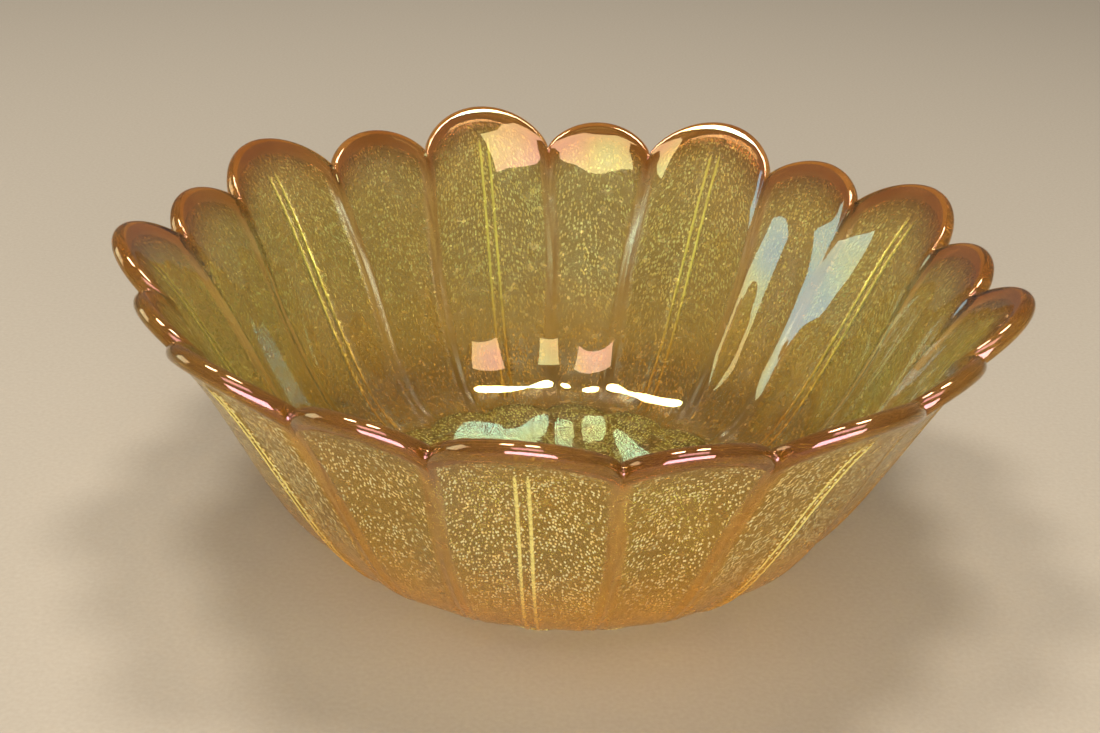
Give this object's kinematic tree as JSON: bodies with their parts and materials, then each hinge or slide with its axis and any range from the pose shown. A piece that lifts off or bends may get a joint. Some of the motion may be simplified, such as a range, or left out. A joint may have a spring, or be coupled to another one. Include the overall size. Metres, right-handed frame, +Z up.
{
  "type": "bowl",
  "caption": "Round iridescent pressed-glass serving bowl with a flower-petal rim on a low scalloped foot.",
  "frame": {"origin": "centre of the circle that the foot rests on", "axes": "+Z up along the bowl's axis, from the foot to the rim; +X is a plain radial direction, with the first large petal's middle 25 degrees round from it"},
  "size_m": [0.2132, 0.2132, 0.0777],
  "materials": {
    "amber_glass": "clear pressed glass, smooth inside and finely stippled outside",
    "inside_lustre": "glossy gold and green iridescent film",
    "outside_lustre": "satin marigold iridescent film with pink and lilac tints"
  },
  "bodies": {
    "root": {"glass_bowl": "amber_glass", "lustre_film_inside": "inside_lustre", "lustre_film_outside": "outside_lustre"}
  },
  "joints": []
}
